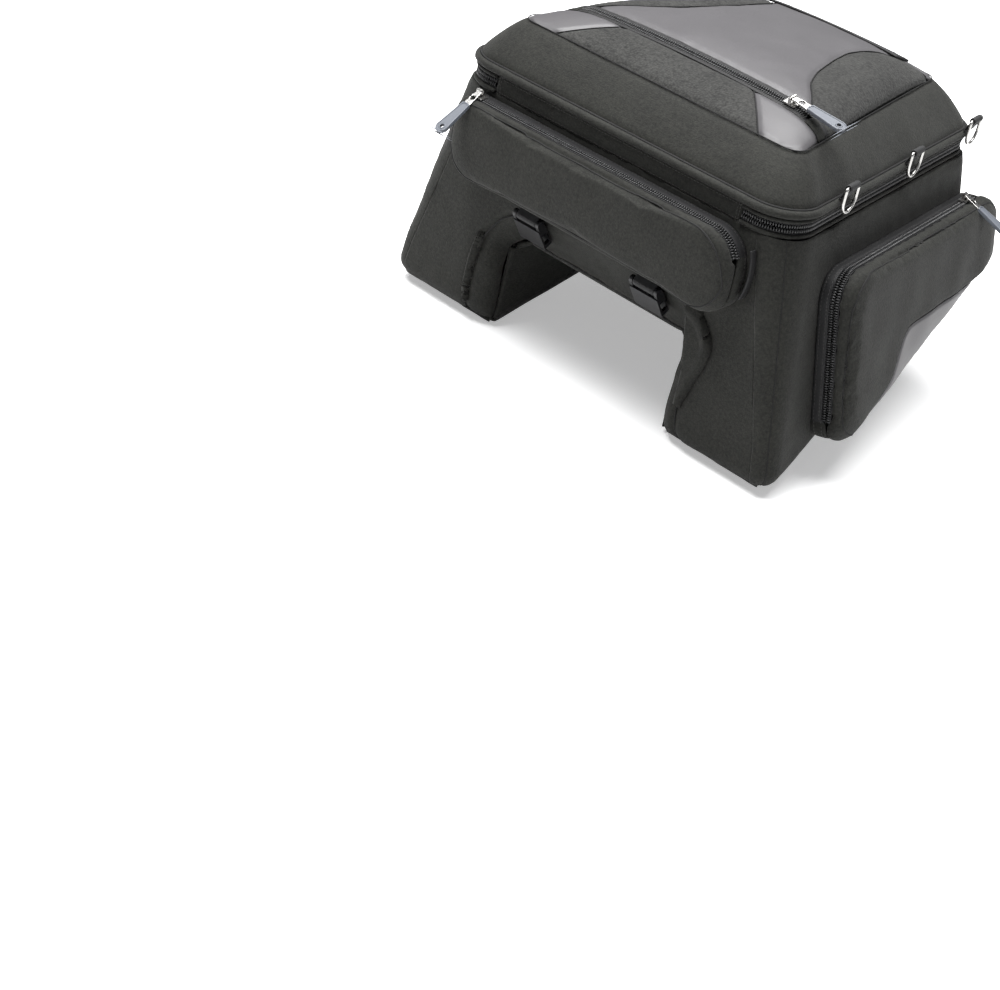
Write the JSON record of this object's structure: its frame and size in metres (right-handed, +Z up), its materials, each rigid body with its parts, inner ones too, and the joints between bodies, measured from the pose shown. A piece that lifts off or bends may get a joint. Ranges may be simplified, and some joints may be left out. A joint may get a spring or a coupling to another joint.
{
  "type": "motorcycle tail bag",
  "caption": "Soft tail bag with a hinged padded lid, straddling side lobes, zipped front, side and map pockets, D-rings, a rear handle and strap buckles.",
  "frame": {"origin": "middle of the underside of the tunnel roof, the flat face that rests on the tail", "axes": "+Z up, -Y towards the rider, +X to the right when looking from the rider to the rear (the side on the right in the front view)"},
  "size_m": [0.5084, 0.4647, 0.3188],
  "materials": {
    "cloth": "plain woven, padded",
    "plastic": "moulded black",
    "black_tape": "zip tape, webbing and lining",
    "weave": "coarse woven",
    "vinyl": "smooth satin vinyl",
    "nickel": "satin nickel",
    "pull": "metal link with a grey-blue rubber grip"
  },
  "bodies": {
    "bag": {"front_panel": "cloth", "rear_panel": "cloth", "left_side_panel": "cloth", "right_side_panel": "cloth", "tunnel_mouth": "cloth", "tunnel_walls": "cloth", "base_panel": "cloth", "base_board": "plastic", "hinge_band": "cloth", "main_zip_body_tape": "black_tape", "front_pocket_frame": "cloth", "front_zip_body_tape": "black_tape", "left_pocket_frame": "cloth", "left_zip_body_tape": "black_tape", "right_pocket_frame": "cloth", "right_zip_body_tape": "black_tape", "buckle_loops": "black_tape"},
    "lid": {"lid_side_panel": "cloth", "lid_piping": "cloth", "lid_front_strip": "weave", "lid_corner_patches": "vinyl", "lid_top_panel": "vinyl", "lid_leaf_panels": "weave", "lid_lining": "black_tape", "main_zip_lid_tape": "black_tape", "map_zip_tapes": "black_tape", "carry_handle": "black_tape", "ring_tabs": "black_tape"},
    "front_cover": {"front_pocket_cover": "cloth", "front_zip_cover_tape": "black_tape"},
    "left_cover": {"left_pocket_cover": "cloth", "left_zip_cover_tape": "black_tape", "left_pocket_corner": "vinyl"},
    "left_ring_front": {"left_ring_front": "nickel"},
    "left_ring_middle": {"left_ring_middle": "nickel"},
    "left_ring_rear": {"left_ring_rear": "nickel"},
    "left_main_slider": {"left_main_slider": "nickel"},
    "left_main_pull": {"left_main_pull": "pull"},
    "left_slider": {"left_slider": "nickel"},
    "left_pull": {"left_pull": "pull"},
    "front_left_buckle": {"front_left_buckle": "plastic"},
    "rear_left_buckle": {"rear_left_buckle": "plastic"},
    "right_cover": {"right_pocket_cover": "cloth", "right_zip_cover_tape": "black_tape", "right_pocket_corner": "vinyl"},
    "right_ring_front": {"right_ring_front": "nickel"},
    "right_ring_middle": {"right_ring_middle": "nickel"},
    "right_ring_rear": {"right_ring_rear": "nickel"},
    "right_main_slider": {"right_main_slider": "nickel"},
    "right_main_pull": {"right_main_pull": "pull"},
    "right_slider": {"right_slider": "nickel"},
    "right_pull": {"right_pull": "pull"},
    "front_right_buckle": {"front_right_buckle": "plastic"},
    "rear_right_buckle": {"rear_right_buckle": "plastic"},
    "map_slider": {"map_slider": "nickel"},
    "map_pull": {"map_pull": "pull"},
    "front_slider": {"front_slider": "nickel"},
    "front_pull": {"front_pull": "pull"}
  },
  "joints": [
    {"name": "lid_hinge", "type": "hinge", "parent": "bag", "child": "lid", "pos_m": [0, -0.191, 0.145], "axis": [1, 0, 0], "range_deg": [0, 95]},
    {"name": "left_ring_front_swing", "type": "hinge", "parent": "lid", "child": "left_ring_front", "pos_m": [-0.19361, -0.10066, 0.174], "axis": [0.1676, 0.9859, 0], "range_deg": [0, 150]},
    {"name": "left_ring_middle_swing", "type": "hinge", "parent": "lid", "child": "left_ring_middle", "pos_m": [-0.17117, 0.03134, 0.174], "axis": [0.1676, 0.9859, 0], "range_deg": [0, 150]},
    {"name": "left_ring_rear_swing", "type": "hinge", "parent": "lid", "child": "left_ring_rear", "pos_m": [-0.14873, 0.16334, 0.174], "axis": [0.1676, 0.9859, 0], "range_deg": [0, 150]},
    {"name": "right_ring_front_swing", "type": "hinge", "parent": "lid", "child": "right_ring_front", "pos_m": [0.19361, -0.10066, 0.174], "axis": [0.1676, -0.9859, 0], "range_deg": [0, 150]},
    {"name": "right_ring_middle_swing", "type": "hinge", "parent": "lid", "child": "right_ring_middle", "pos_m": [0.17117, 0.03134, 0.174], "axis": [0.1676, -0.9859, 0], "range_deg": [0, 150]},
    {"name": "right_ring_rear_swing", "type": "hinge", "parent": "lid", "child": "right_ring_rear", "pos_m": [0.14873, 0.16334, 0.174], "axis": [0.1676, -0.9859, 0], "range_deg": [0, 150]},
    {"name": "left_main_slide", "type": "slide", "parent": "bag", "child": "left_main_slider", "axis": [-1, 0, 0], "range_m": [0, 0.084]},
    {"name": "left_main_pull_swing", "type": "hinge", "parent": "left_main_slider", "child": "left_main_pull", "pos_m": [-0.008, 0.1925, 0.145], "axis": [1, 0, 0], "range_deg": [0, 120]},
    {"name": "right_main_slide", "type": "slide", "parent": "bag", "child": "right_main_slider", "axis": [1, 0, 0], "range_m": [0, 0.084]},
    {"name": "right_main_pull_swing", "type": "hinge", "parent": "right_main_slider", "child": "right_main_pull", "pos_m": [0.008, 0.1925, 0.145], "axis": [1, 0, 0], "range_deg": [0, 120]},
    {"name": "map_slide", "type": "hinge", "parent": "lid", "child": "map_slider", "pos_m": [0, -0.101, -1.63897], "axis": [0, -1, 0], "range_deg": [0, 6.96]},
    {"name": "map_pull_swing", "type": "hinge", "parent": "map_slider", "child": "map_pull", "pos_m": [0.11317, -0.1024, 0.22255], "axis": [-0.0131, -0.9764, -0.2157], "range_deg": [0, 150]},
    {"name": "front_cover_hinge", "type": "hinge", "parent": "bag", "child": "front_cover", "pos_m": [0, -0.2015, 0.057], "axis": [1, 0, 0], "range_deg": [0, 35]},
    {"name": "front_slide", "type": "slide", "parent": "front_cover", "child": "front_slider", "axis": [1, 0, 0], "range_m": [0, 0.272]},
    {"name": "front_pull_swing", "type": "hinge", "parent": "front_slider", "child": "front_pull", "pos_m": [-0.1505, -0.2015, 0.1389], "axis": [-1, 0, 0], "range_deg": [0, 120]},
    {"name": "left_cover_hinge", "type": "hinge", "parent": "bag", "child": "left_cover", "pos_m": [-0.24504, -0.11088, -0.05809], "axis": [-0.2105, -0.9407, -0.2662], "range_deg": [0, 35]},
    {"name": "left_slide", "type": "slide", "parent": "left_cover", "child": "left_slider", "axis": [-0.1654, -0.9862, 0.0118], "range_m": [0, 0.238]},
    {"name": "left_pull_swing", "type": "hinge", "parent": "left_slider", "child": "left_pull", "pos_m": [-0.16951, 0.14718, 0.10857], "axis": [0.1654, 0.9862, -0.0118], "range_deg": [0, 110]},
    {"name": "right_cover_hinge", "type": "hinge", "parent": "bag", "child": "right_cover", "pos_m": [0.24504, -0.11088, -0.05809], "axis": [-0.2105, 0.9407, 0.2662], "range_deg": [0, 35]},
    {"name": "right_slide", "type": "slide", "parent": "right_cover", "child": "right_slider", "axis": [0.1654, -0.9862, 0.0118], "range_m": [0, 0.238]},
    {"name": "right_pull_swing", "type": "hinge", "parent": "right_slider", "child": "right_pull", "pos_m": [0.16951, 0.14718, 0.10857], "axis": [0.1654, -0.9862, 0.0118], "range_deg": [0, 110]},
    {"name": "front_left_buckle_swing", "type": "hinge", "parent": "bag", "child": "front_left_buckle", "pos_m": [-0.073, -0.193, 0.043], "axis": [-1, 0, 0], "range_deg": [0, 100]},
    {"name": "rear_left_buckle_swing", "type": "hinge", "parent": "bag", "child": "rear_left_buckle", "pos_m": [-0.073, 0.2057, 0.04], "axis": [1, 0, 0], "range_deg": [0, 90]},
    {"name": "front_right_buckle_swing", "type": "hinge", "parent": "bag", "child": "front_right_buckle", "pos_m": [0.073, -0.193, 0.043], "axis": [-1, 0, 0], "range_deg": [0, 100]},
    {"name": "rear_right_buckle_swing", "type": "hinge", "parent": "bag", "child": "rear_right_buckle", "pos_m": [0.073, 0.2057, 0.04], "axis": [1, 0, 0], "range_deg": [0, 90]}
  ]
}
